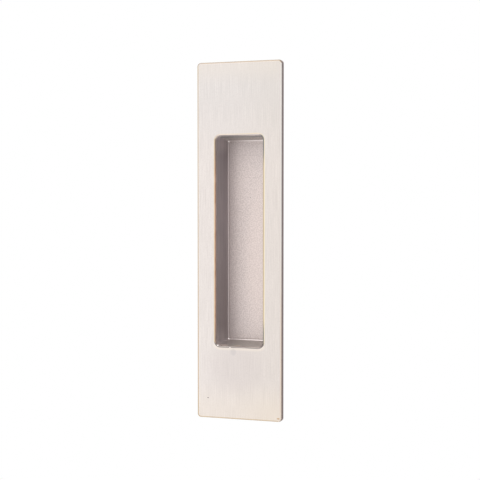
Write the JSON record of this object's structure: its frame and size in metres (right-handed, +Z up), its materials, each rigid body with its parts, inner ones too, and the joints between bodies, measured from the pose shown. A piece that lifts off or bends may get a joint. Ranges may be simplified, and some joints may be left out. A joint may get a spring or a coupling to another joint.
{
  "type": "pocket door pull",
  "caption": "Long rectangular flush pull for a sliding pocket door: a flat plate with a deep drafted finger recess, hollow-backed, with rear tapped bosses.",
  "frame": {"origin": "middle of the rim's back plane, which beds on the face of the door", "axes": "+Z up along the plate's length, +X across its width, +Y into the door; the face and the mouth of the recess point along -Y"},
  "size_m": [0.04, 0.014, 0.16],
  "materials": {
    "satin_nickel": "brushed satin nickel plate on a zinc casting, worn to pale gold and tan along the edges, with a blasted recess floor"
  },
  "bodies": {
    "root": {"pull_body": "satin_nickel"}
  },
  "joints": []
}
